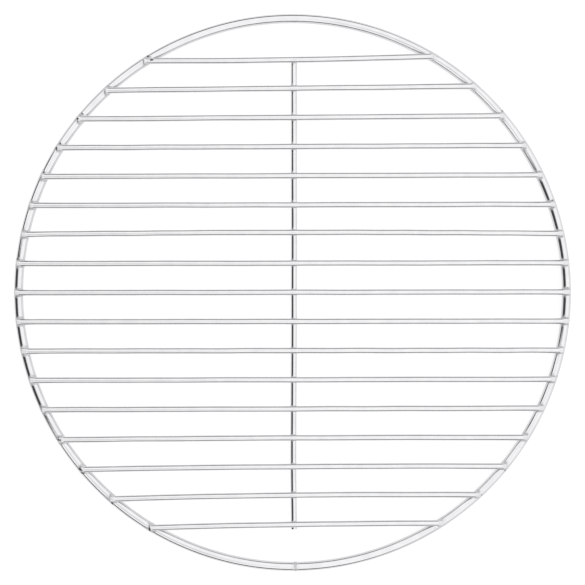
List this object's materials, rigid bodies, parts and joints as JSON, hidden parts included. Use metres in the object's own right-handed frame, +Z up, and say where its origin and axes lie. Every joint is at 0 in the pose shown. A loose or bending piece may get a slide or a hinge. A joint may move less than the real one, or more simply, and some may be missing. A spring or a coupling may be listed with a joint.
{
  "type": "cooling rack",
  "caption": "Flat round wire rack: parallel straight bars welded across a thick wire ring, tied by one cross rod underneath, for cooling baked goods with air from all sides.",
  "frame": {"origin": "centre of the ring, on the plane that the ring rests on", "axes": "+X along the bars, +Y along the cross rod towards the end where it stops flush with the outermost bar, +Z up through the bars' tops"},
  "size_m": [0.305, 0.305, 0.0078],
  "materials": {
    "chrome_wire": "bright plated drawn steel wire, smooth with faint lengthwise draw lines",
    "plated_weld": "bright plating over rough resistance-weld flash, a little duller and lumpier than the wire"
  },
  "bodies": {
    "root": {"ring": "chrome_wire", "bar_01": "chrome_wire", "bar_02": "chrome_wire", "bar_03": "chrome_wire", "bar_04": "chrome_wire", "bar_05": "chrome_wire", "bar_06": "chrome_wire", "bar_07": "chrome_wire", "bar_08": "chrome_wire", "bar_09": "chrome_wire", "bar_10": "chrome_wire", "bar_11": "chrome_wire", "bar_12": "chrome_wire", "bar_13": "chrome_wire", "bar_14": "chrome_wire", "bar_15": "chrome_wire", "bar_16": "chrome_wire", "bar_17": "chrome_wire", "cross_rod": "chrome_wire", "ring_closing_weld": "plated_weld", "left_bar_welds": "plated_weld", "right_bar_welds": "plated_weld", "rod_welds": "plated_weld"}
  },
  "joints": []
}
